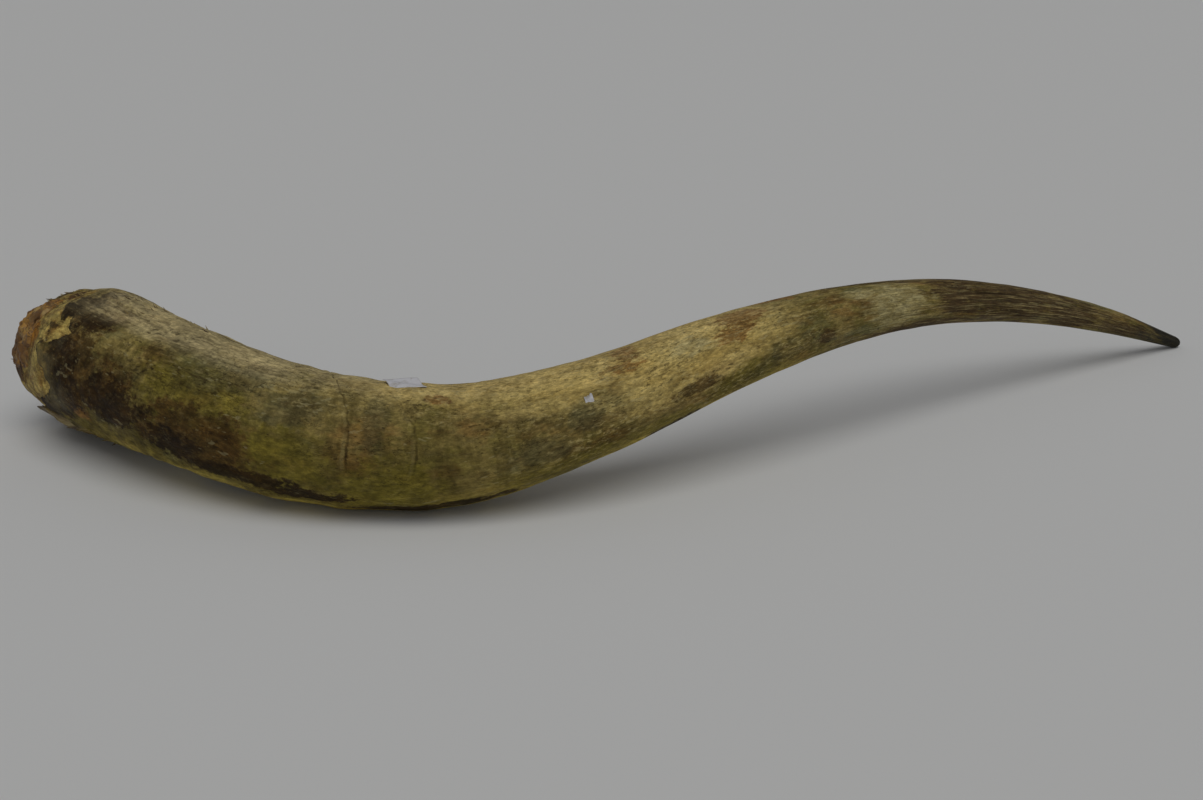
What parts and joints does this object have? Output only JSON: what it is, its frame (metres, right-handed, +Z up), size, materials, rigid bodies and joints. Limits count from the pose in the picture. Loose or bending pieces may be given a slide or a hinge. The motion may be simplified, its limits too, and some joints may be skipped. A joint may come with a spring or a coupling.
{
  "type": "watusi horn",
  "caption": "Long hollow cattle horn with an S-shaped sweep, a ragged open base and a slim blunt tip, lying on its side.",
  "frame": {"origin": "on the surface that the horn lies on, under the middle of its box", "axes": "+X from the open base to the tip, +Z up, -Y towards the belly of the bend"},
  "size_m": [1.2946, 0.5698, 0.1528],
  "materials": {
    "horn": "dry weathered horn: olive tan with brown streaks, dull to satin"
  },
  "bodies": {
    "root": {"horn": "horn"}
  },
  "joints": []
}
